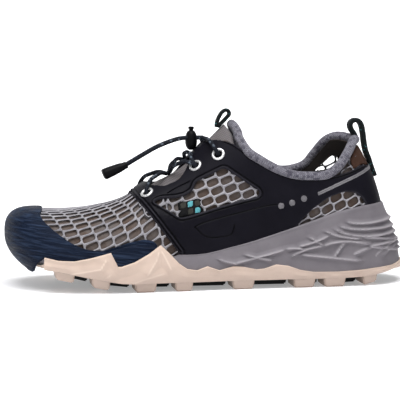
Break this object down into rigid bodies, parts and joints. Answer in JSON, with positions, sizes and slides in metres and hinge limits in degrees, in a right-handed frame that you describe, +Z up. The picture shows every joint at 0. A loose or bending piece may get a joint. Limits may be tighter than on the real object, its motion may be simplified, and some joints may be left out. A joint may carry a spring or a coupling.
{
  "type": "mesh sneaker",
  "caption": "low left-foot trail sneaker: open net upper with a film cage, rubber toe cap, cupped foam midsole, lugged outsole and an elastic lace with a cord lock",
  "frame": {"origin": "on the floor under the middle of the shoe's box", "axes": "+X to the toe, +Y to the outer side of the left foot, +Z up"},
  "size_m": [0.3, 0.1064, 0.1301],
  "materials": {
    "grey_mesh": "matt net",
    "grey_knit": "matt heather knit",
    "black_film": "satin",
    "navy_rubber": "satin",
    "grey_foam": "matt foam",
    "beige_rubber": "matt",
    "tongue_textile": "matt",
    "insole_textile": "matt",
    "steel": "bright",
    "black_cord": "braided",
    "black_plastic": "satin",
    "black_webbing": "woven",
    "brown_lining": "matt"
  },
  "bodies": {
    "root": {"outsole": "beige_rubber", "midsole": "grey_foam", "insole": "insole_textile", "upper": "grey_mesh", "cage": "black_film", "toe_rand": "navy_rubber", "heel_patch": "brown_lining", "tongue": "tongue_textile", "collar": "grey_knit", "eyelet_outer_1": "steel", "eyelet_outer_2": "steel", "eyelet_outer_3": "steel", "eyelet_inner_1": "steel", "eyelet_inner_2": "steel", "eyelet_inner_3": "steel", "lace": "black_cord", "lace_end_outer": "black_cord", "lace_end_inner": "black_cord", "cord_lock": "black_plastic", "cord_end": "black_plastic", "heel_loop": "black_webbing", "tongue_loop": "black_webbing"}
  },
  "joints": []
}
